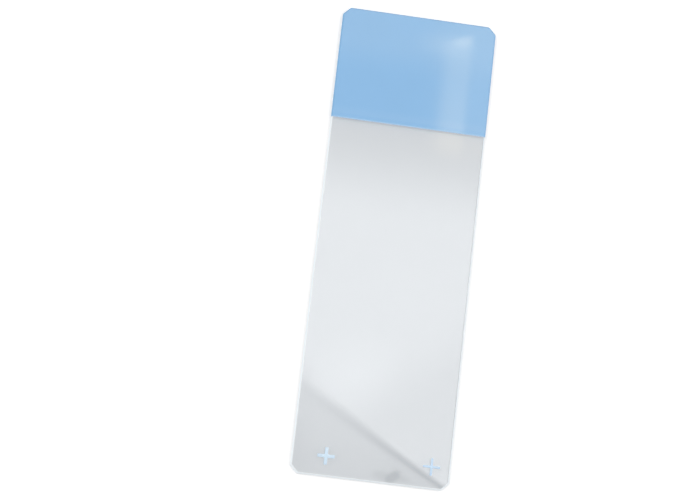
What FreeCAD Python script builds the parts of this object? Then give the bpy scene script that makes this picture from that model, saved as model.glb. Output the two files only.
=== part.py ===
"""A glass microscope slide with a printed marking area at one end.

The slide lies flat. X runs across its width, Y along its length towards the
printed end, and Z up through the glass. The origin is the centre of the
underside. All lengths are in millimetres.
"""
import FreeCAD, Part
import math
import os

# Glass sheet
LENGTH = 75.0
WIDTH = 25.0
GLASS = 1.0
CORNER_CUT = 1.2        # leg of each clipped corner, along the edge
CORNER_SOFTEN = 0.5     # radius where a clip meets an edge
EDGE_SEAM = 0.25        # leg of the 45 degree seam ground along each rim

# Printed marking area, over the upper face and its seams at the +Y end
LABEL_LENGTH = 18.25
LABEL_THICKNESS = 0.05

# Printed plus signs near the clear end, on the upper face
MARK_SPAN = 2.7
MARK_THICKNESS = 0.03
MARKS = {
    # name: (from the left edge, from the clear end, width of a stroke)
    "corner_mark_left": (5.4, 3.2, 0.50),
    "corner_mark_right": (21.9, 3.5, 0.36),
}

TOUCH = 1e-6            # heights and places closer than this are the same


def slide_outline():
    """Return the slide's plan outline as a closed wire at Z = 0."""
    half_width = WIDTH / 2
    half_length = LENGTH / 2
    points = []
    for x_sign, y_sign in ((1, 1), (-1, 1), (-1, -1), (1, -1)):
        on_side = FreeCAD.Vector(x_sign * half_width, y_sign * (half_length - CORNER_CUT), 0)
        on_end = FreeCAD.Vector(x_sign * (half_width - CORNER_CUT), y_sign * half_length, 0)
        # Going anticlockwise, every other corner is reached along an end.
        if x_sign == y_sign:
            points += [on_side, on_end]
        else:
            points += [on_end, on_side]
    return Part.makePolygon(points + points[:1])


def is_upright(edge):
    """Tell whether an edge runs straight up."""
    start = edge.Vertexes[0].Point
    end = edge.Vertexes[-1].Point
    return math.hypot(start.x - end.x, start.y - end.y) < TOUCH


def blank(height):
    """Return a block of the slide's outline, its clips softened where they meet the edges."""
    block = Part.Face(slide_outline()).extrude(FreeCAD.Vector(0, 0, height))
    upright = [edge for edge in block.Edges if is_upright(edge)]
    return block.makeFillet(CORNER_SOFTEN, upright)


def rim(solid, level):
    """Return the edges of a solid that lie wholly at one height."""
    def is_level(edge):
        box = edge.BoundBox
        return abs(box.ZMin - level) < TOUCH and abs(box.ZMax - level) < TOUCH

    return [edge for edge in solid.Edges if is_level(edge)]


def glass_plate():
    """Return the glass sheet with its upper and lower seams."""
    sheet = blank(GLASS)
    return sheet.makeChamfer(EDGE_SEAM, rim(sheet, 0) + rim(sheet, GLASS))


def label_coating(glass):
    """Return the printed area, one even layer over the upper face and the seams."""
    top = GLASS + LABEL_THICKNESS
    # Measured squarely to the seam, the layer is as thick there as on the face.
    seam = EDGE_SEAM + LABEL_THICKNESS - LABEL_THICKNESS * math.sqrt(2)
    skin = blank(top)
    skin = skin.makeChamfer(seam, rim(skin, top)).cut(glass)
    corner = FreeCAD.Vector(-WIDTH / 2, LENGTH / 2 - LABEL_LENGTH, GLASS - EDGE_SEAM)
    window = Part.makeBox(WIDTH, LABEL_LENGTH, EDGE_SEAM + LABEL_THICKNESS, corner)
    return skin.common(window).Solids[0]


def bar(middle, length_x, length_y, height):
    """Return a flat bar standing on a point at the middle of its underside."""
    corner = middle - FreeCAD.Vector(length_x / 2, length_y / 2, 0)
    return Part.makeBox(length_x, length_y, height, corner)


def corner_mark(from_left, from_end, stroke):
    """Return one plus sign on the upper face."""
    middle = FreeCAD.Vector(from_left - WIDTH / 2, from_end - LENGTH / 2, GLASS)
    across = bar(middle, MARK_SPAN, stroke, MARK_THICKNESS)
    along = bar(middle, stroke, MARK_SPAN, MARK_THICKNESS)
    return across.fuse(along).removeSplitter().Solids[0]


def slide_parts():
    """Return every piece of the slide by name."""
    glass = glass_plate()
    parts = {"glass_plate": glass, "label_coating": label_coating(glass)}
    for name, place in MARKS.items():
        parts[name] = corner_mark(*place)
    return parts


def main():
    """Write one STEP file for each piece."""
    os.makedirs("parts", exist_ok=True)
    for name, shape in slide_parts().items():
        shape.exportStep("parts/" + name + ".step")
        print(name, "volume", round(shape.Volume, 3), "mm3, valid", shape.isValid())


main()
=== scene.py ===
"""A glass microscope slide with a printed marking area, dressed and lit in a small studio.

The slide lies flat. X runs across its width, Y along its length towards the printed end,
and Z up through the glass. The origin is the centre of the underside, and every length is
in metres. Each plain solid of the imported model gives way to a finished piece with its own
material, which lies on a pale floor under soft lamps, with a camera over it.
"""

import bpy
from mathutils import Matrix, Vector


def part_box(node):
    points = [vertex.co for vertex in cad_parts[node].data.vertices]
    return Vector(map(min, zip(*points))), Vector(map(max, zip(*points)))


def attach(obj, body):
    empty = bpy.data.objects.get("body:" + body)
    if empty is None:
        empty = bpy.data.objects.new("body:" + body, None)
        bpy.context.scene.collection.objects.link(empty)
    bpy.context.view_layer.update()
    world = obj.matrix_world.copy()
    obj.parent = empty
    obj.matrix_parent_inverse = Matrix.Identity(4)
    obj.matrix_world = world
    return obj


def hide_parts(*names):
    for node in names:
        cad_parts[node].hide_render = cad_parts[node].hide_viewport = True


bl_info = {
    "name": "Microscope Slide",
    "version": (1, 0, 0),
    "blender": (4, 5, 0),
    "location": "View3D > Sidebar > Slide",
    "description": "Builds a glass microscope slide with a printed marking area",
    "category": "Object",
}

import math

import bmesh
import bpy
from bpy.props import FloatProperty, FloatVectorProperty, PointerProperty
from mathutils import Quaternion, Vector

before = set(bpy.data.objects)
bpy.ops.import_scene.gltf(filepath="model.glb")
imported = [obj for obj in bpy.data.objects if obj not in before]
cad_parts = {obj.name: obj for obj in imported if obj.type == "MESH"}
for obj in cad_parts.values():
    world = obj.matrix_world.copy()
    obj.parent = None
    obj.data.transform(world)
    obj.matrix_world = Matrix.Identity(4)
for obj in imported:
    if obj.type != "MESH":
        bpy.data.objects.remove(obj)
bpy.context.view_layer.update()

MM = 0.001
MICRON = 0.000001
WHITE = (1.0, 1.0, 1.0, 1.0)

GLASS_LOW, GLASS_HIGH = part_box("glass_plate")
LABEL_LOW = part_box("label_coating")[0]
GLASS_TOP = GLASS_HIGH.z

SAME_PLACE = 0.5 * MICRON       # points closer than this are the same
SAME_WAY = 0.999                # directions whose product is over this are the same
UPRIGHT = 0.001                 # an edge leaning less than this stands upright
EIGHTH_TURN = math.radians(45)  # between a clipped corner, or a seam, and its neighbours
SMOOTH_ANGLE = math.radians(30)  # faces that meet at less than this are shaded as one
LARGE_FACES = 100               # lets large faces set the shading of the roundings between them
ROUND = 0.5                     # the profile of a bevel that follows an arc


# ---------------------------------------------------------------------------
# Sizes, colours and studio settings
# ---------------------------------------------------------------------------

def a_length(name, description, default):
    """Describe a length."""
    return FloatProperty(
        name=name, description=description, default=default, min=0.0, unit="LENGTH", precision=6
    )


def a_colour(name, description, default):
    """Describe a colour."""
    return FloatVectorProperty(
        name=name,
        description=description,
        default=default,
        size=4,
        min=0.0,
        max=1.0,
        subtype="COLOR",
    )


def a_number(name, description, default, highest=1.0):
    """Describe a plain number from nothing to a highest value."""
    return FloatProperty(name=name, description=description, default=default, min=0.0, max=highest)


def an_angle(name, description, degrees):
    """Describe an angle."""
    return FloatProperty(
        name=name, description=description, default=math.radians(degrees), unit="ROTATION"
    )


def a_place(name, description, default):
    """Describe a place in the slide's own frame."""
    return FloatVectorProperty(
        name=name,
        description=description,
        default=default,
        size=3,
        subtype="TRANSLATION",
        precision=6,
    )


class SlideSizes(bpy.types.PropertyGroup):
    """The sizes that shape the glass and its print."""

    corner_cut: a_length("Corner cut", "Leg of each clipped corner", 1.2 * MM)
    corner_soften: a_length("Corner soften", "Radius where a clip meets an edge", 0.5 * MM)
    edge_seam: a_length("Edge seam", "Leg of the seam ground along each rim", 0.25 * MM)
    arris_width: a_length("Arris width", "How far the rounding of a ground arris reaches", 0.03 * MM)
    ink_thickness: a_length("Ink thickness", "Thickness of the marking area's ink", 0.042 * MM)
    ink_key: a_length("Ink key", "How far the ink bites into the glass", 0.006 * MM)
    bead_width: a_length("Bead width", "Width of the thicker bead along the ink's border", 0.34 * MM)
    bead_rise: a_length("Bead rise", "How far the bead stands above the ink", 0.012 * MM)
    left_stroke: a_length("Left stroke", "Width of a stroke of the left plus sign", 0.50 * MM)
    right_stroke: a_length("Right stroke", "Width of a stroke of the right plus sign", 0.36 * MM)


class SlideColours(bpy.types.PropertyGroup):
    """The colours of the glass and of its inks."""

    glass_tint: a_colour("Glass tint", "What the glass lets through", (0.879, 0.907, 0.932, 1.0))
    glass_shade: a_colour(
        "Glass shade", "How much light passes one face of the glass", (0.58, 0.59, 0.60, 1.0)
    )
    ground_edge: a_colour(
        "Ground edge", "The frosted glass of the ground edges", (0.92, 0.97, 1.0, 1.0)
    )
    marking_ink: a_colour("Marking ink", "The marking area", (0.1985, 0.4385, 0.732, 1.0))
    left_mark_ink: a_colour("Left mark ink", "The left plus sign", (0.60, 0.76, 0.90, 1.0))
    right_mark_ink: a_colour("Right mark ink", "The right plus sign", (0.53, 0.71, 0.90, 1.0))
    # The colour of the highlight painted along the bead at the marking area's border.
    bead_highlight_ink: a_colour("Pale ink", "The marking area where its ink is thin", (0.62, 0.78, 0.93, 1.0))


class StudioSettings(bpy.types.PropertyGroup):
    """Where the camera stands, how bright the studio is, and where its shade is mirrored."""

    aim: a_place("Aim", "The point that the camera looks at", (-9.003 * MM, -1.893 * MM, 0.0))
    azimuth: an_angle("Azimuth", "How far the camera is turned round the slide", -25.55)
    elevation: an_angle("Elevation", "How high the camera stands", 78.49)
    roll: an_angle("Roll", "How far the camera is turned about its own line of sight", 32.62)
    distance: a_length("Distance", "From the aim to the camera", 314.95 * MM)
    lens: a_number("Lens", "Focal length in millimetres", 106.8, highest=500.0)
    lamp_level: a_number("Lamp level", "Light from the lamps; 1 is full light", 0.30, highest=4.0)
    room_level: a_number("Room level", "Light from the room; 1 is full light", 0.70, highest=4.0)
    floor_white: a_number("Floor white", "Share of light that the floor gives back", 0.87)
    floor_lift: a_number("Floor lift", "What is added to the floor where it is seen", 0.35)
    shade_start: a_place(
        "Shade start", "Where the shaded reflection's edge starts", (-11.9 * MM, -25.1 * MM, 0.0)
    )
    shade_end: a_place(
        "Shade end", "Where the shaded reflection's edge ends", (10.7 * MM, -37.0 * MM, 0.0)
    )


# ---------------------------------------------------------------------------
# Modelling by hand, in code
# ---------------------------------------------------------------------------

def clear_selection():
    """Leave nothing selected."""
    bpy.ops.object.select_all(action="DESELECT")


def hold(thing):
    """Make one object the only selected and active one."""
    clear_selection()
    thing.select_set(True)
    bpy.context.view_layer.objects.active = thing


def start_shaping(thing):
    """Open a mesh in edit mode with nothing selected."""
    hold(thing)
    bpy.ops.object.mode_set(mode="EDIT")
    bpy.ops.mesh.select_all(action="DESELECT")


def end_shaping():
    """Close edit mode."""
    bpy.ops.object.mode_set(mode="OBJECT")


def pick(thing, kind, wanted):
    """Select the vertices, edges or faces that a test accepts, in edit mode."""
    bpy.ops.mesh.select_mode(type=kind)
    bpy.ops.mesh.select_all(action="DESELECT")
    shape = bmesh.from_edit_mesh(thing.data)
    parts = {"VERT": shape.verts, "EDGE": shape.edges, "FACE": shape.faces}[kind]
    shape.normal_update()
    found = [part for part in parts if wanted(part)]
    if not found:
        raise RuntimeError("nothing to shape on " + thing.name)
    for part in found:
        part.select_set(True)
    bmesh.update_edit_mesh(thing.data)


def round_picked(reach, segments):
    """Bevel the selected edges, as far as the reach to each side: one segment makes a flat."""
    bpy.ops.mesh.bevel(
        offset_type="OFFSET",
        offset=reach,
        segments=segments,
        profile=ROUND,
        affect="EDGES",
        clamp_overlap=True,
    )


def cut_all(point, direction, drop_behind=False):
    """Cut the whole open mesh along a plane, and drop what is behind the plane if asked."""
    bpy.ops.mesh.select_all(action="SELECT")
    bpy.ops.mesh.bisect(
        plane_co=point,
        plane_no=direction,
        use_fill=False,
        clear_inner=drop_behind,
        threshold=SAME_PLACE,
    )


def add_block(name, low, high):
    """Add a block between two corners, with its place in its mesh."""
    clear_selection()
    bpy.ops.mesh.primitive_cube_add(size=1.0, location=(low + high) / 2, scale=high - low)
    block = bpy.context.active_object
    block.name = name
    block.data.name = name
    bpy.ops.object.transform_apply(location=True, rotation=True, scale=True)
    return block


def finish_shape(thing):
    """Give a mesh its final shading: round where it is rounded, true where it is flat."""
    hold(thing)
    bpy.ops.object.shade_smooth_by_angle(angle=SMOOTH_ANGLE)
    evened = thing.modifiers.new("Even normals", "WEIGHTED_NORMAL")
    evened.weight = LARGE_FACES
    evened.keep_sharp = True
    bpy.ops.object.modifier_apply(modifier=evened.name)


def stands_upright(edge):
    """Tell whether an edge runs straight up."""
    run = edge.verts[1].co - edge.verts[0].co
    return math.hypot(run.x, run.y) < UPRIGHT * run.length


def at_height(edge, height):
    """Tell whether an edge lies wholly at one height."""
    return all(abs(vert.co.z - height) < SAME_PLACE for vert in edge.verts)


def turn_of(edge):
    """Return the angle between an edge's two faces, or nothing at an open edge."""
    return edge.calc_face_angle(0.0)


def tangent(radius):
    """Return how far a rounding of an eighth turn reaches along each side."""
    return radius * math.tan(EIGHTH_TURN / 2)


# ---------------------------------------------------------------------------
# Shapes
# ---------------------------------------------------------------------------

INK_SKIRT = 0.8                 # how far the ink runs down a seam, as a share of the seam's leg
BEAD_CREST = 0.4                # how far in the bead is highest, as a share of its width
INK_ROUNDING = 0.4              # at the ink's outer edges, as a share of its thickness
SIGN_CORNER = 0.22              # rounding of a sign's corners, as a share of its stroke
SIGN_RIM = 0.3                  # rounding of a sign's rims, as a share of its height


def add_seamed_sheet(name, sizes):
    """Add the slide's sheet: clipped corners, softened clips, and a seam along each rim."""
    sheet = add_block(name, GLASS_LOW, GLASS_HIGH)
    start_shaping(sheet)
    pick(sheet, "EDGE", stands_upright)
    round_picked(sizes.corner_cut, segments=1)
    pick(sheet, "EDGE", stands_upright)
    round_picked(tangent(sizes.corner_soften), segments=6)
    pick(sheet, "EDGE", lambda edge: at_height(edge, GLASS_LOW.z) or at_height(edge, GLASS_TOP))
    round_picked(sizes.edge_seam, segments=1)
    end_shaping()
    return sheet


def shape_glass_plate(sizes):
    """Return the glass plate with every ground arris rounded a little."""
    plate = add_seamed_sheet("glass_sheet", sizes)
    levels = (GLASS_LOW.z, GLASS_LOW.z + sizes.edge_seam, GLASS_TOP - sizes.edge_seam, GLASS_TOP)
    start_shaping(plate)
    pick(plate, "EDGE", lambda edge: any(at_height(edge, level) for level in levels))
    round_picked(sizes.arris_width, segments=3)
    end_shaping()
    finish_shape(plate)
    return plate


def shape_marking_area(sizes):
    """Return the marking area: a skin of ink over the face and its seams, beaded at its border."""
    skin = add_seamed_sheet("marking_area", sizes)
    border = LABEL_LOW.y
    skirt = GLASS_TOP - INK_SKIRT * sizes.edge_seam
    start_shaping(skin)
    cut_all((0, border, 0), (0, 1, 0), drop_behind=True)
    cut_all((0, 0, skirt), (0, 0, 1), drop_behind=True)
    bpy.ops.mesh.select_all(action="SELECT")
    bpy.ops.transform.translate(value=(0, 0, -sizes.ink_key))
    end_shaping()
    thicken(skin, sizes.ink_thickness)
    shape_bead(skin, sizes, border)
    finish_shape(skin)
    return skin


def thicken(skin, thickness):
    """Give an open skin an even thickness, outwards."""
    hold(skin)
    layer = skin.modifiers.new("Ink layer", "SOLIDIFY")
    layer.thickness = thickness
    layer.offset = 1.0
    layer.use_even_offset = True
    bpy.ops.object.modifier_apply(modifier=layer.name)


def shape_bead(skin, sizes, border):
    """Raise the bead along the ink's border, fading at both ends, and round the ink's outer edges."""
    top = GLASS_TOP - sizes.ink_key + sizes.ink_thickness
    crest = border + BEAD_CREST * sizes.bead_width
    foot = border + sizes.bead_width
    reach = GLASS_HIGH.x - sizes.edge_seam - sizes.bead_width
    start_shaping(skin)
    for line in (crest, foot):
        cut_all((0, line, 0), (0, 1, 0))
    for line in (-reach, reach):
        cut_all((line, 0, 0), (1, 0, 0))
    pick(skin, "VERT", lambda vert: is_on_crest(vert, crest, top, reach))
    bpy.ops.transform.translate(value=(0, 0, sizes.bead_rise))
    pick(skin, "EDGE", lambda edge: rims_the_ink(edge, border, top))
    round_picked(INK_ROUNDING * sizes.ink_thickness, segments=3)
    end_shaping()


def is_on_crest(vert, crest, top, reach):
    """Tell whether a vertex is one that the bead's crest runs through."""
    on_line = abs(vert.co.y - crest) < SAME_PLACE and abs(vert.co.z - top) < SAME_PLACE
    return on_line and abs(vert.co.x) < reach + SAME_PLACE


def rims_the_ink(edge, border, top):
    """Tell whether an edge is the ink's upper border, or the fold where it turns over a seam."""
    on_border = all(abs(vert.co.y - border) < SAME_PLACE for vert in edge.verts)
    return at_height(edge, top) and (on_border or turn_of(edge) > EIGHTH_TURN / 2)


def shape_plus_sign(name, node, stroke, sizes):
    """Return a plus sign over a node's box, its strokes drawn out of one block at the middle."""
    low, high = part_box(node)
    middle = (low + high) / 2
    half = Vector((stroke / 2, stroke / 2, 0))
    floor = Vector((middle.x, middle.y, low.z - sizes.ink_key))
    roof = Vector((middle.x, middle.y, high.z))
    sign = add_block(name, floor - half, roof + half)
    reach = (high.x - low.x - stroke) / 2
    start_shaping(sign)
    for direction in (Vector((1, 0, 0)), Vector((0, 1, 0)), Vector((-1, 0, 0)), Vector((0, -1, 0))):
        pick(sign, "FACE", lambda face: is_block_side(face, direction, middle, stroke))
        bpy.ops.mesh.extrude_region_move(TRANSFORM_OT_translate={"value": direction * reach})
    pick(sign, "EDGE", lambda edge: stands_upright(edge) and turn_of(edge) > EIGHTH_TURN)
    round_picked(SIGN_CORNER * stroke, segments=4)
    pick(sign, "EDGE", lambda edge: at_height(edge, high.z) and turn_of(edge) > EIGHTH_TURN)
    round_picked(SIGN_RIM * (high.z - low.z), segments=2)
    end_shaping()
    finish_shape(sign)
    return sign


def is_block_side(face, direction, middle, stroke):
    """Tell whether a face is the side of a sign's middle block that looks in a direction."""
    near = (face.calc_center_median().xy - middle.xy).length < stroke
    return near and face.normal.dot(direction) > SAME_WAY


# ---------------------------------------------------------------------------
# Shader nodes
# ---------------------------------------------------------------------------

NOISE_MIDDLE = 0.5              # what a noise texture gives on average
MIX_FIRST = 6                   # where a mix node keeps its colour sockets
MIX_SECOND = 7
MIX_RESULT = 2


def ready_group(name, build):
    """Return a node group by its name, built when it is first asked for."""
    if name not in bpy.data.node_groups:
        build(name)
    return bpy.data.node_groups[name]


def new_group(name, inputs, outputs):
    """Make an empty node group with named sockets, and return it with its two ends."""
    group = bpy.data.node_groups.new(name, "ShaderNodeTree")
    for socket_name, kind, default in inputs:
        socket = group.interface.new_socket(name=socket_name, in_out="INPUT", socket_type=kind)
        if default is not None:
            socket.default_value = default
    for socket_name, kind in outputs:
        group.interface.new_socket(name=socket_name, in_out="OUTPUT", socket_type=kind)
    start = group.nodes.new("NodeGroupInput")
    end = group.nodes.new("NodeGroupOutput")
    return group, start, end


def add_noise(tree, where, scale, detail):
    """Add a noise texture at the place and scale that two sockets give, and return what it gives."""
    noise = tree.nodes.new("ShaderNodeTexNoise")
    noise.inputs["Detail"].default_value = detail
    tree.links.new(where, noise.inputs["Vector"])
    tree.links.new(scale, noise.inputs["Scale"])
    return noise.outputs["Fac"]


def add_math(tree, operation, first, second, third=None):
    """Add a math node, and return what it gives. Each term is a number or a socket."""
    node = tree.nodes.new("ShaderNodeMath")
    node.operation = operation
    for index, term in enumerate((first, second, third)):
        if isinstance(term, bpy.types.NodeSocket):
            tree.links.new(term, node.inputs[index])
        elif term is not None:
            node.inputs[index].default_value = term
    return node.outputs[0]


def add_range(tree, value, old, new):
    """Add a node that carries one range of values over to another, and return what it gives."""
    node = tree.nodes.new("ShaderNodeMapRange")
    node.interpolation_type = "SMOOTHSTEP"
    tree.links.new(value, node.inputs["Value"])
    for name, number in zip(("From Min", "From Max", "To Min", "To Max"), (*old, *new)):
        node.inputs[name].default_value = number
    return node.outputs["Result"]


def add_split(tree, vector):
    """Return the three parts of a vector."""
    split = tree.nodes.new("ShaderNodeSeparateXYZ")
    tree.links.new(vector, split.inputs[0])
    return split.outputs


def add_reach(tree, vector):
    """Return how long a vector is."""
    reach = tree.nodes.new("ShaderNodeVectorMath")
    reach.operation = "LENGTH"
    tree.links.new(vector, reach.inputs[0])
    return reach.outputs["Value"]


def build_tone_drift(name):
    """Build the group that lets a colour drift a little from place to place."""
    group, start, end = new_group(
        name,
        (
            ("Vector", "NodeSocketVector", None),
            ("Colour", "NodeSocketColor", WHITE),
            ("Scale", "NodeSocketFloat", 100.0),
            ("Drift", "NodeSocketFloat", 0.05),
        ),
        (("Colour", "NodeSocketColor"),),
    )
    noise = add_noise(group, start.outputs["Vector"], start.outputs["Scale"], detail=3.0)
    centred = add_math(group, "SUBTRACT", noise, NOISE_MIDDLE)
    gain = add_math(group, "MULTIPLY_ADD", centred, start.outputs["Drift"], 1.0)
    scaled = group.nodes.new("ShaderNodeVectorMath")
    scaled.operation = "SCALE"
    group.links.new(start.outputs["Colour"], scaled.inputs[0])
    group.links.new(gain, scaled.inputs["Scale"])
    group.links.new(scaled.outputs[0], end.inputs["Colour"])


def build_fine_surface(name):
    """Build the group that gives a surface its uneven gloss and its fine relief."""
    group, start, end = new_group(
        name,
        (
            ("Vector", "NodeSocketVector", None),
            ("Swell Scale", "NodeSocketFloat", 100.0),
            ("Grain Scale", "NodeSocketFloat", 5000.0),
            ("Grain Share", "NodeSocketFloat", 0.3),
            ("Roughness", "NodeSocketFloat", 0.3),
            ("Roughness Spread", "NodeSocketFloat", 0.1),
        ),
        (("Roughness", "NodeSocketFloat"), ("Height", "NodeSocketFloat")),
    )
    given = start.outputs
    swell = add_noise(group, given["Vector"], given["Swell Scale"], detail=2.0)
    grain = add_noise(group, given["Vector"], given["Grain Scale"], detail=2.0)
    centred = add_math(group, "SUBTRACT", swell, NOISE_MIDDLE)
    rough = add_math(group, "MULTIPLY_ADD", centred, given["Roughness Spread"], given["Roughness"])
    height = add_math(group, "MULTIPLY_ADD", grain, given["Grain Share"], swell)
    group.links.new(rough, end.inputs["Roughness"])
    group.links.new(height, end.inputs["Height"])


def new_material(name):
    """Return a new material with its node tree, its surface shader and its output."""
    material = bpy.data.materials.new(name)
    material.use_nodes = True
    tree = material.node_tree
    return material, tree, tree.nodes["Principled BSDF"], tree.nodes["Material Output"]


def add_group(tree, group, values):
    """Place a node group and give it its own values."""
    node = tree.nodes.new("ShaderNodeGroup")
    node.node_tree = group
    for name, value in values.items():
        node.inputs[name].default_value = value
    return node


def add_place(tree, stretch=(1.0, 1.0, 1.0)):
    """Add the object's own coordinates, stretched if asked, and return them."""
    coordinates = tree.nodes.new("ShaderNodeTexCoord")
    mapping = tree.nodes.new("ShaderNodeMapping")
    mapping.inputs["Scale"].default_value = stretch
    tree.links.new(coordinates.outputs["Object"], mapping.inputs["Vector"])
    return mapping.outputs["Vector"]


def dress(tree, shader, where, drift, surface, relief):
    """Give a shader its drifting colour, its uneven gloss and its relief."""
    tone = add_group(tree, ready_group("Tone drift", build_tone_drift), drift)
    fine = add_group(tree, ready_group("Fine surface", build_fine_surface), surface)
    bump = tree.nodes.new("ShaderNodeBump")
    bump.inputs["Distance"].default_value = relief
    for node in (tone, fine):
        tree.links.new(where, node.inputs["Vector"])
    tree.links.new(tone.outputs["Colour"], shader.inputs["Base Color"])
    tree.links.new(fine.outputs["Roughness"], shader.inputs["Roughness"])
    tree.links.new(fine.outputs["Height"], bump.inputs["Height"])
    tree.links.new(bump.outputs["Normal"], shader.inputs["Normal"])
    return tone


def let_light_through(tree, shader, output, shade):
    """Let light pass a glass surface straight, shaded, so that what lies behind it is lit evenly."""
    path = tree.nodes.new("ShaderNodeLightPath")
    straight = tree.nodes.new("ShaderNodeBsdfTransparent")
    straight.inputs["Color"].default_value = shade
    surface = shader.outputs[0]
    for ray in ("Is Diffuse Ray", "Is Shadow Ray"):
        mix = tree.nodes.new("ShaderNodeMixShader")
        tree.links.new(path.outputs[ray], mix.inputs[0])
        tree.links.new(surface, mix.inputs[1])
        tree.links.new(straight.outputs[0], mix.inputs[2])
        surface = mix.outputs[0]
    tree.links.new(surface, output.inputs["Surface"])


# ---------------------------------------------------------------------------
# Materials
# ---------------------------------------------------------------------------

GLASS_IOR = 1.52
# Painted highlight along the bead at the printed border, and a faint paler band just inside it.
BORDER_HIGHLIGHT_BANDS = (
    # where each starts and ends, inwards from the border, and its value at each
    ((0.0 * MM, 0.3 * MM), (0.22, 0.0)),    # the bead: how strong the painted highlight is
    ((0.45 * MM, 0.9 * MM), (0.0, 0.04)),   # just inside the bead: how much paler it is painted
    ((1.0 * MM, 2.4 * MM), (1.0, 0.0)),     # full again: how much of that is left
)


def polished_glass(colours):
    """Return drawn soda-lime glass, with a faint haze and the slow waves of a drawn sheet."""
    material, tree, shader, output = new_material("Polished glass")
    shader.inputs["Transmission Weight"].default_value = 1.0
    shader.inputs["IOR"].default_value = GLASS_IOR
    where = add_place(tree)
    dress(
        tree,
        shader,
        where,
        {"Colour": colours.glass_tint, "Scale": 60.0, "Drift": 0.03},
        {
            "Swell Scale": 45.0,
            "Grain Scale": 900.0,
            "Grain Share": 0.01,
            "Roughness": 0.012,
            "Roughness Spread": 0.03,
        },
        relief=2.0 * MICRON,
    )
    let_light_through(tree, shader, output, colours.glass_shade)
    return material


def ground_glass(colours):
    """Return the frosted glass of the ground edges, streaked the way that the wheel ran."""
    material, tree, shader, output = new_material("Ground glass")
    shader.inputs["Transmission Weight"].default_value = 0.10
    shader.inputs["IOR"].default_value = GLASS_IOR
    where = add_place(tree, stretch=(0.08, 0.08, 1.0))
    dress(
        tree,
        shader,
        where,
        {"Colour": colours.ground_edge, "Scale": 9000.0, "Drift": 0.12},
        {
            "Swell Scale": 12000.0,
            "Grain Scale": 40000.0,
            "Grain Share": 0.6,
            "Roughness": 0.52,
            "Roughness Spread": 0.2,
        },
        relief=9.0 * MICRON,
    )
    let_light_through(tree, shader, output, colours.glass_shade)
    return material


def screened_ink(name, ink, bead_highlight_ink=None):
    """Return baked screen ink: satin, a little uneven, and with a painted highlight along its border
    bead if that is asked.
    """
    material, tree, shader, _ = new_material(name)
    shader.inputs["IOR"].default_value = 1.5
    shader.inputs["Specular IOR Level"].default_value = 0.25
    shader.inputs["Coat Weight"].default_value = 1.0
    shader.inputs["Coat Roughness"].default_value = 0.025
    where = add_place(tree)
    tone = dress(
        tree,
        shader,
        where,
        {"Colour": ink, "Scale": 130.0, "Drift": 0.07},
        {
            "Swell Scale": 900.0,
            "Grain Scale": 7000.0,
            "Grain Share": 0.35,
            "Roughness": 0.38,
            "Roughness Spread": 0.12,
        },
        relief=1.2 * MICRON,
    )
    if bead_highlight_ink is not None:
        paint_border_highlight(tree, shader, tone, where, bead_highlight_ink)
    return material


def paint_border_highlight(tree, shader, tone, where, bead_highlight_ink):
    """Paint a highlight onto the marking area's ink along the bead at its border, and a faint paler
    band just inside.
    """
    along = add_split(tree, where)["Y"]
    border = LABEL_LOW.y
    bead, inner_band, left_over = [
        add_range(tree, along, (border + start, border + end), values)
        for (start, end), values in BORDER_HIGHLIGHT_BANDS
    ]
    pale = add_math(tree, "MULTIPLY_ADD", inner_band, left_over, bead)
    mix = tree.nodes.new("ShaderNodeMix")
    mix.data_type = "RGBA"
    mix.inputs[MIX_SECOND].default_value = bead_highlight_ink
    tree.links.new(pale, mix.inputs["Factor"])
    tree.links.new(tone.outputs["Colour"], mix.inputs[MIX_FIRST])
    tree.links.new(mix.outputs[MIX_RESULT], shader.inputs["Base Color"])


def put_on(thing, *materials):
    """Give a piece its materials."""
    for material in materials:
        thing.data.materials.append(material)


def paint_ground_faces(plate):
    """Give every face of the plate but the two polished ones the second material."""
    start_shaping(plate)
    pick(plate, "FACE", lambda face: abs(face.normal.z) < SAME_WAY)
    plate.active_material_index = 1
    bpy.ops.object.material_slot_assign()
    end_shaping()


def hand_over(piece, node):
    """Set a finished piece in the model in place of its plain solid."""
    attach(piece, "root")
    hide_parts(node)


# ---------------------------------------------------------------------------
# Operators for the pieces
# ---------------------------------------------------------------------------

class SLIDE_OT_glass_plate(bpy.types.Operator):
    """Build the glass plate with its polished faces and ground edges"""

    bl_idname = "slide.glass_plate"
    bl_label = "Glass Plate"

    def execute(self, context):
        """Shape, dress and place the plate."""
        colours = context.scene.slide_colours
        plate = shape_glass_plate(context.scene.slide_sizes)
        put_on(plate, polished_glass(colours), ground_glass(colours))
        paint_ground_faces(plate)
        hand_over(plate, "glass_plate")
        return {"FINISHED"}


class SLIDE_OT_marking_area(bpy.types.Operator):
    """Build the printed marking area at the end of the slide"""

    bl_idname = "slide.marking_area"
    bl_label = "Marking Area"

    def execute(self, context):
        """Shape, dress and place the marking area."""
        colours = context.scene.slide_colours
        area = shape_marking_area(context.scene.slide_sizes)
        # The marking area's ink carries a painted highlight along its border bead.
        put_on(area, screened_ink("Marking ink", colours.marking_ink, colours.bead_highlight_ink))
        hand_over(area, "label_coating")
        return {"FINISHED"}


class SLIDE_OT_plus_signs(bpy.types.Operator):
    """Build the two small plus signs printed near the clear end"""

    bl_idname = "slide.plus_signs"
    bl_label = "Plus Signs"

    def execute(self, context):
        """Shape, dress and place both signs."""
        sizes = context.scene.slide_sizes
        colours = context.scene.slide_colours
        signs = (
            ("plus_sign_left", "corner_mark_left", sizes.left_stroke, colours.left_mark_ink),
            ("plus_sign_right", "corner_mark_right", sizes.right_stroke, colours.right_mark_ink),
        )
        for name, node, stroke, ink in signs:
            sign = shape_plus_sign(name, node, stroke, sizes)
            put_on(sign, screened_ink(name.replace("_", " ").capitalize() + " ink", ink))
            hand_over(sign, node)
        return {"FINISHED"}


# ---------------------------------------------------------------------------
# The studio
# ---------------------------------------------------------------------------

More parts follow.
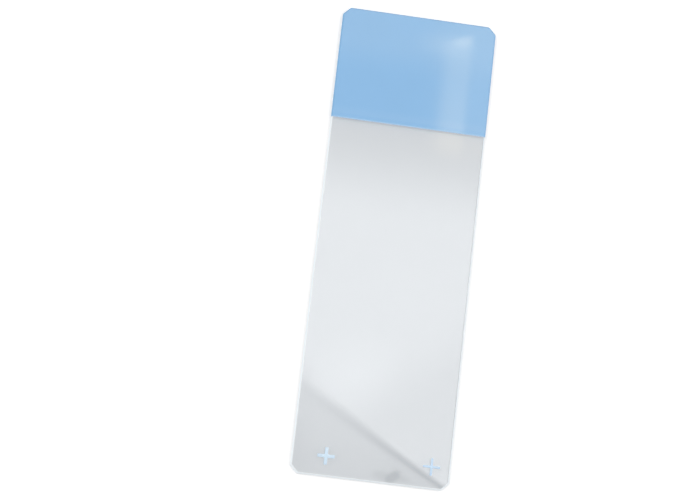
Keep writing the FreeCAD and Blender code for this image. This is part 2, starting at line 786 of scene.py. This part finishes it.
FLOOR_GAP = 0.02 * MM           # keeps the floor clear of the slide's underside
FLOOR_SIZE = 6.0
SIDE_LEAN = 0.6                 # how much the room is brighter at the slide's sides than overall
LIFT_REACH = (0.10, 0.9)        # how far out the floor's lift starts to grow, and where it is full
FULL_LIFT = 1.0
LAMPS = (
    # name, place, size, share of the lamp light
    ("overhead_lamp", (0.12, 0.19, 1.5), 1.2, 0.38),
    ("key_lamp", (0.95, -0.40, 1.1), 0.8, 0.24),
    ("fill_lamp", (-0.85, 0.10, 1.1), 0.8, 0.38),
)


def camera_back(studio):
    """Return the direction from the aim to the camera."""
    around = studio.azimuth
    up = studio.elevation
    return Vector((math.sin(around) * math.cos(up), -math.cos(around) * math.cos(up), math.sin(up)))


def camera_place(studio):
    """Return where the camera stands."""
    return Vector(studio.aim) + camera_back(studio) * studio.distance


def add_camera(studio):
    """Add the camera at its viewing angle."""
    back = camera_back(studio)
    clear_selection()
    bpy.ops.object.camera_add(location=camera_place(studio))
    camera = bpy.context.active_object
    camera.name = "camera"
    camera.rotation_mode = "QUATERNION"
    camera.rotation_quaternion = (-back).to_track_quat("-Z", "Y") @ Quaternion((0, 0, 1), studio.roll)
    camera.data.lens = studio.lens
    camera.data.clip_start = 0.01
    camera.data.clip_end = 20.0
    bpy.context.scene.camera = camera


def add_lamp(name, place, size, strength):
    """Add a large soft lamp that faces the slide."""
    away = Vector(place)
    clear_selection()
    bpy.ops.object.light_add(type="AREA", location=place)
    lamp = bpy.context.active_object
    lamp.name = name
    lamp.rotation_mode = "QUATERNION"
    lamp.rotation_quaternion = (-away).to_track_quat("-Z", "Y")
    lamp.data.shape = "SQUARE"
    lamp.data.size = size
    # At strength 1 a lamp has the power that makes a white level face come out white.
    slope = away.z / away.length
    lamp.data.energy = strength * math.pi * math.pi * away.length_squared / slope


def seen_mask(tree):
    """Return one for camera, mirror and glass rays, and nothing for the rest."""
    path = tree.nodes.new("ShaderNodeLightPath")
    straight = add_math(tree, "MAXIMUM", path.outputs["Is Camera Ray"], path.outputs["Is Glossy Ray"])
    return add_math(tree, "MAXIMUM", straight, path.outputs["Is Transmission Ray"])


def light_the_room(level):
    """Fill the room with soft light, and show it white."""
    world = bpy.data.worlds.new("Room")
    bpy.context.scene.world = world
    world.use_nodes = True
    tree = world.node_tree
    seen = tree.nodes["Background"]
    seen.inputs["Color"].default_value = WHITE
    seen.inputs["Strength"].default_value = 1.0
    given = tree.nodes.new("ShaderNodeBackground")
    given.inputs["Color"].default_value = WHITE
    tree.links.new(room_strength(tree, level), given.inputs["Strength"])
    mix = tree.nodes.new("ShaderNodeMixShader")
    tree.links.new(seen_mask(tree), mix.inputs[0])
    tree.links.new(given.outputs[0], mix.inputs[1])
    tree.links.new(seen.outputs[0], mix.inputs[2])
    tree.links.new(mix.outputs[0], tree.nodes["World Output"].inputs["Surface"])


def room_strength(tree, level):
    """Return the room's light, which is stronger from the slide's two sides than from its ends."""
    coordinates = tree.nodes.new("ShaderNodeTexCoord")
    direction = add_split(tree, coordinates.outputs["Generated"])
    sideways = add_math(tree, "MULTIPLY", direction["X"], direction["X"])
    endways = add_math(tree, "MULTIPLY", direction["Y"], direction["Y"])
    lean = add_math(tree, "SUBTRACT", sideways, endways)
    return add_math(tree, "MULTIPLY_ADD", lean, level * SIDE_LEAN, level)


def add_plane(name, size, location):
    """Add a plane for the studio."""
    clear_selection()
    bpy.ops.mesh.primitive_plane_add(size=size, location=location)
    plane = bpy.context.active_object
    plane.name = name
    return plane


def add_floor(studio):
    """Add the pale floor, which takes the slide's shadow."""
    floor = add_plane("floor", FLOOR_SIZE, (0, 0, -FLOOR_GAP))
    # Room light comes at the slide from below too, so its underside isn't black.
    floor.visible_diffuse = False
    floor.visible_shadow = False
    put_on(floor, floor_material(studio))


def floor_material(studio):
    """Return pale paper that glows a little where it is seen. From below it isn't there."""
    material, tree, shader, output = new_material("Floor")
    material.cycles.emission_sampling = "NONE"
    tree.nodes.remove(shader)
    white = studio.floor_white
    paper = tree.nodes.new("ShaderNodeBsdfDiffuse")
    paper.inputs["Color"].default_value = (white, white, white, 1.0)
    glow = tree.nodes.new("ShaderNodeEmission")
    tree.links.new(floor_glow(tree, studio.floor_lift), glow.inputs["Strength"])
    both = tree.nodes.new("ShaderNodeAddShader")
    tree.links.new(paper.outputs[0], both.inputs[0])
    tree.links.new(glow.outputs[0], both.inputs[1])
    side = tree.nodes.new("ShaderNodeNewGeometry")
    gone = tree.nodes.new("ShaderNodeBsdfTransparent")
    mix = tree.nodes.new("ShaderNodeMixShader")
    tree.links.new(side.outputs["Backfacing"], mix.inputs[0])
    tree.links.new(both.outputs[0], mix.inputs[1])
    tree.links.new(gone.outputs[0], mix.inputs[2])
    tree.links.new(mix.outputs[0], output.inputs["Surface"])
    return material


def floor_glow(tree, lift):
    """Return what is added to the floor where it is seen, more of it far from the lamps."""
    coordinates = tree.nodes.new("ShaderNodeTexCoord")
    reach = add_reach(tree, coordinates.outputs["Object"])
    amount = add_range(tree, reach, LIFT_REACH, (lift, FULL_LIFT))
    return add_math(tree, "MULTIPLY", amount, seen_mask(tree))


# ---------------------------------------------------------------------------
# The card that the slide mirrors
# ---------------------------------------------------------------------------

CARD_HEIGHT = 1.0               # how high it hangs
CARD_WIDTH = 100 * MM           # as it looks mirrored in the slide
CARD_LENGTH = 160 * MM
STRIP_COLOUR = (1.0, 0.80, 0.42, 1.0)

# What it shows: a softbox in a dim room over the clear glass, and a strip lamp over the print.
# A place on it is the place on the slide that mirrors it. Places are in millimetres where no MM
# stands with them, and light is counted in that of a white wall in full light.
EACH_MM = (MM, MM, MM)
BORDER = LABEL_LOW.y / MM       # the printed area's border
PRINTED_LIGHT = 1.8             # white light over the printed area
FACE_TURN = math.radians(127)   # the way inwards over the softbox's face
STRIP_END = (8.0 * MM, 35.45 * MM, 0.0)
STRIP_END_TURN = math.radians(18)
FRAME_EDGE = (-0.7, 0.5)        # across the softbox's edge, in blurs: from the room to its frame
FACE_EDGE = (0.4, 1.85)         # and from its frame to its face
FADE_IN = (0.0, 1.0)
RAMPS = {
    # name: (axis, where it starts and ends, its value at each)
    "to_print": ("Y", (3.0, BORDER - 0.25), FADE_IN),
    "room": ("Y", (-28.0, -37.5), (2.2, 1.72)),
    "room_right": ("X", (-2.0, 6.0), (0.0, 0.2)),
    "room_left": ("X", (-12.0, -8.5), (0.3, 0.0)),
    "room_left_end": ("Y", (-27.0, -31.0), FADE_IN),
    "strip_tail": ("Y", (BORDER - 5.25, BORDER - 1.25), (0.0, 0.3)),
    "strip_foot": ("Y", (BORDER - 0.15, BORDER + 0.15), (0.0, 0.7)),
    "strip_left": ("X", (3.3, 6.1), FADE_IN),
    "strip_right": ("X", (8.3, 9.4), (1.0, 0.0)),
    "strip_level": ("Y", (20.0, 31.0), (2.0, 1.3)),
    "upper_glow": ("Y", (27.0, 33.0), (0.0, 0.95)),
    "right_glow": ("X", (0.5, 9.5), (0.0, 0.95)),
    # along the softbox's edge, from its start to its end
    "blur": ("X", (0.0, 1.0), (1.6, 0.65)),
    "frame": ("X", (0.0, 1.0), (2.07, 0.0)),
    # inwards over the softbox's face
    "face": ("X", (-24.0, -14.0), (3.02, 3.72)),
    # up over the strip lamp's end
    "strip_end": ("Y", (-0.35, 0.35), (1.0, 0.0)),
}
SPOTS = {
    # name: (middle, turn in degrees, radii where it has faded out, share of them before it
    # fades, value there)
    "stand_middle": ((3.5, -36.3), 43, (2.1, 1.1), 0.3, 1.75),
    "stand_left": ((1.6, -36.15), -5, (1.9, 1.0), 0.3, 0.70),
    "stand_right": ((5.1, -36.35), -8, (1.8, 0.7), 0.3, 0.60),
    "face_middle": ((-4.0, -21.0), 0, (9.0, 9.0), 0.0, 0.45),
    "face_margin": ((-13.0, -24.0), 0, (5.0, 6.0), 0.0, -0.6),
    "strip_hot": ((7.5, 34.6), 20, (2.4, 1.6), 0.2, 2.1),
    "strip_halo": ((4.5, 33.6), 0, (6.5, 3.0), 0.0, 1.2),
}


def mirror_scale(studio):
    """Return how much larger things on the card are than their reflections on the slide."""
    return 1.0 + (CARD_HEIGHT - GLASS_TOP) / (camera_place(studio).z - GLASS_TOP)


def mirror_place(studio):
    """Return the point at card height that the camera sees mirrored at the middle of the slide."""
    eye = camera_place(studio)
    spread = mirror_scale(studio) - 1.0
    return Vector((-eye.x * spread, -eye.y * spread, CARD_HEIGHT))


def add_card(studio):
    """Hang the card that the slide mirrors, its own coordinates those of the slide's reflections."""
    card = add_plane("softbox_card", 1.0, (0, 0, 0))
    start_shaping(card)
    bpy.ops.mesh.select_all(action="SELECT")
    bpy.ops.transform.resize(value=(CARD_WIDTH, CARD_LENGTH, 1.0))
    end_shaping()
    card.location = mirror_place(studio)
    card.scale = (mirror_scale(studio), mirror_scale(studio), 1.0)
    card.visible_camera = False
    card.visible_diffuse = False
    card.visible_shadow = False
    put_on(card, card_material(studio))


def card_material(studio):
    """Return the card's two lights, the white and the warm, which light nothing themselves."""
    material, tree, shader, output = new_material("Softbox card")
    material.cycles.emission_sampling = "NONE"
    tree.nodes.remove(shader)
    white, warm = card_light(tree, studio)
    both = tree.nodes.new("ShaderNodeAddShader")
    for index, (strength, tint) in enumerate(((white, WHITE), (warm, STRIP_COLOUR))):
        glow = tree.nodes.new("ShaderNodeEmission")
        glow.inputs["Color"].default_value = tint
        tree.links.new(strength, glow.inputs["Strength"])
        tree.links.new(glow.outputs[0], both.inputs[index])
    tree.links.new(both.outputs[0], output.inputs["Surface"])
    return material


def add_frame_of(tree, coordinates, origin, turn, unit):
    """Return coordinates counted from an origin, turned, in units of their own."""
    mapping = tree.nodes.new("ShaderNodeMapping")
    mapping.vector_type = "TEXTURE"
    mapping.inputs["Location"].default_value = origin
    mapping.inputs["Rotation"].default_value = (0, 0, turn)
    mapping.inputs["Scale"].default_value = unit
    tree.links.new(coordinates, mapping.inputs["Vector"])
    return mapping.outputs["Vector"]


def add_total(tree, *terms):
    """Return the sum of several terms."""
    total = terms[0]
    for term in terms[1:]:
        total = add_math(tree, "ADD", total, term)
    return total


def add_product(tree, *terms):
    """Return the product of several terms."""
    product = terms[0]
    for term in terms[1:]:
        product = add_math(tree, "MULTIPLY", product, term)
    return product


def add_blend(tree, share, first, second):
    """Return a value that goes from one term to another."""
    step = add_math(tree, "SUBTRACT", second, first)
    return add_math(tree, "MULTIPLY_ADD", share, step, first)


def add_ramps(tree, parts, *names):
    """Return what several ramps give, each along its own axis of some coordinates."""
    given = []
    for name in names:
        axis, ends, values = RAMPS[name]
        given.append(add_range(tree, parts[axis], ends, values))
    return given


def add_spots(tree, where, *names):
    """Return what several spots give, each round its own middle."""
    given = []
    for name in names:
        (x, y), turn, (wide, high), core, value = SPOTS[name]
        unit = (wide * MM, high * MM, MM)
        local = add_frame_of(tree, where, (x * MM, y * MM, 0), math.radians(turn), unit)
        given.append(add_range(tree, add_reach(tree, local), (core, 1.0), (value, 0.0)))
    return given


def card_light(tree, studio):
    """Return how bright each place on the card is, in white light and in warm."""
    where = tree.nodes.new("ShaderNodeTexCoord").outputs["Object"]
    in_mm = add_split(tree, add_frame_of(tree, where, (0, 0, 0), 0.0, EACH_MM))
    to_print, tail, foot = add_ramps(tree, in_mm, "to_print", "strip_tail", "strip_foot")
    white = add_blend(tree, to_print, softbox_light(tree, where, in_mm, studio), PRINTED_LIGHT)
    warm = add_product(tree, strip_light(tree, where, in_mm), add_total(tree, tail, foot))
    return white, warm


def softbox_light(tree, where, in_mm, studio):
    """Return the light of the dim room, of the softbox's dark frame and of its face."""
    run = Vector(studio.shade_end) - Vector(studio.shade_start)
    turn = math.atan2(run.y, run.x)
    unit = (run.length, MM, MM)
    edge = add_split(tree, add_frame_of(tree, where, studio.shade_start, turn, unit))
    blur, frame_light = add_ramps(tree, edge, "blur", "frame")
    across = add_math(tree, "DIVIDE", edge["Y"], blur)
    frame_share = add_range(tree, across, FRAME_EDGE, FADE_IN)
    face_share = add_range(tree, across, FACE_EDGE, FADE_IN)
    outside = add_blend(tree, frame_share, room_light(tree, where, in_mm), frame_light)
    return add_blend(tree, face_share, outside, face_light(tree, where))


def room_light(tree, where, in_mm):
    """Return the dim room's light, lower towards the end of the slide and behind the lamp's stand."""
    room, right = add_ramps(tree, in_mm, "room", "room_right")
    left = add_product(tree, *add_ramps(tree, in_mm, "room_left", "room_left_end"))
    stand = add_spots(tree, where, "stand_middle", "stand_left", "stand_right")
    light = add_math(tree, "SUBTRACT", room, add_total(tree, right, left, *stand))
    return add_math(tree, "MAXIMUM", light, 0.0)


def face_light(tree, where):
    """Return the light of the softbox's face, brightest towards its middle."""
    inwards = add_split(tree, add_frame_of(tree, where, (0, 0, 0), FACE_TURN, EACH_MM))
    broad = add_ramps(tree, inwards, "face")
    return add_total(tree, *broad, *add_spots(tree, where, "face_middle", "face_margin"))


def strip_light(tree, where, in_mm):
    """Return the strip lamp's light: an even band, brightest at its upper end, in a wider glow."""
    over_end = add_split(tree, add_frame_of(tree, where, STRIP_END, STRIP_END_TURN, EACH_MM))
    level, left, right = add_ramps(tree, in_mm, "strip_level", "strip_left", "strip_right")
    hot, halo = add_spots(tree, where, "strip_hot", "strip_halo")
    end = add_ramps(tree, over_end, "strip_end")
    band = add_product(tree, add_total(tree, level, hot), left, right, *end)
    return add_total(tree, band, halo, *add_ramps(tree, in_mm, "upper_glow", "right_glow"))


# ---------------------------------------------------------------------------
# Operator for the studio
# ---------------------------------------------------------------------------

class SLIDE_OT_studio(bpy.types.Operator):
    """Set up the floor, the lamps, the room and the camera"""

    bl_idname = "slide.studio"
    bl_label = "Studio"

    def execute(self, context):
        """Build the studio round the slide."""
        studio = context.scene.slide_studio
        context.scene.view_settings.view_transform = "Standard"
        add_floor(studio)
        light_the_room(studio.room_level)
        for name, place, size, part in LAMPS:
            add_lamp(name, place, size, part * studio.lamp_level)
        add_camera(studio)
        add_card(studio)
        return {"FINISHED"}


# ---------------------------------------------------------------------------
# Panel and registration
# ---------------------------------------------------------------------------

BUILDERS = (SLIDE_OT_glass_plate, SLIDE_OT_marking_area, SLIDE_OT_plus_signs, SLIDE_OT_studio)


class VIEW3D_PT_microscope_slide(bpy.types.Panel):
    """Lists what builds the slide, and the values that shape it"""

    bl_label = "Microscope Slide"
    bl_space_type = "VIEW_3D"
    bl_region_type = "UI"
    bl_category = "Slide"

    def draw(self, context):
        """Draw the panel."""
        layout = self.layout
        scene = context.scene
        for builder in BUILDERS:
            layout.operator(builder.bl_idname)
        for group in (scene.slide_sizes, scene.slide_colours, scene.slide_studio):
            box = layout.box()
            for name in group.bl_rna.properties.keys():
                if name not in ("rna_type", "name"):
                    box.prop(group, name)


CLASSES = (SlideSizes, SlideColours, StudioSettings, *BUILDERS, VIEW3D_PT_microscope_slide)


def register():
    """Register every class and hang the settings on the scene."""
    for each in CLASSES:
        bpy.utils.register_class(each)
    bpy.types.Scene.slide_sizes = PointerProperty(type=SlideSizes)
    bpy.types.Scene.slide_colours = PointerProperty(type=SlideColours)
    bpy.types.Scene.slide_studio = PointerProperty(type=StudioSettings)


def unregister():
    """Take the settings off the scene and unregister every class."""
    del bpy.types.Scene.slide_studio
    del bpy.types.Scene.slide_colours
    del bpy.types.Scene.slide_sizes
    for each in reversed(CLASSES):
        bpy.utils.unregister_class(each)


def main():
    """Build the whole scene."""
    register()
    bpy.ops.slide.glass_plate()
    bpy.ops.slide.marking_area()
    bpy.ops.slide.plus_signs()
    bpy.ops.slide.studio()


if __name__ == "__main__":
    main()
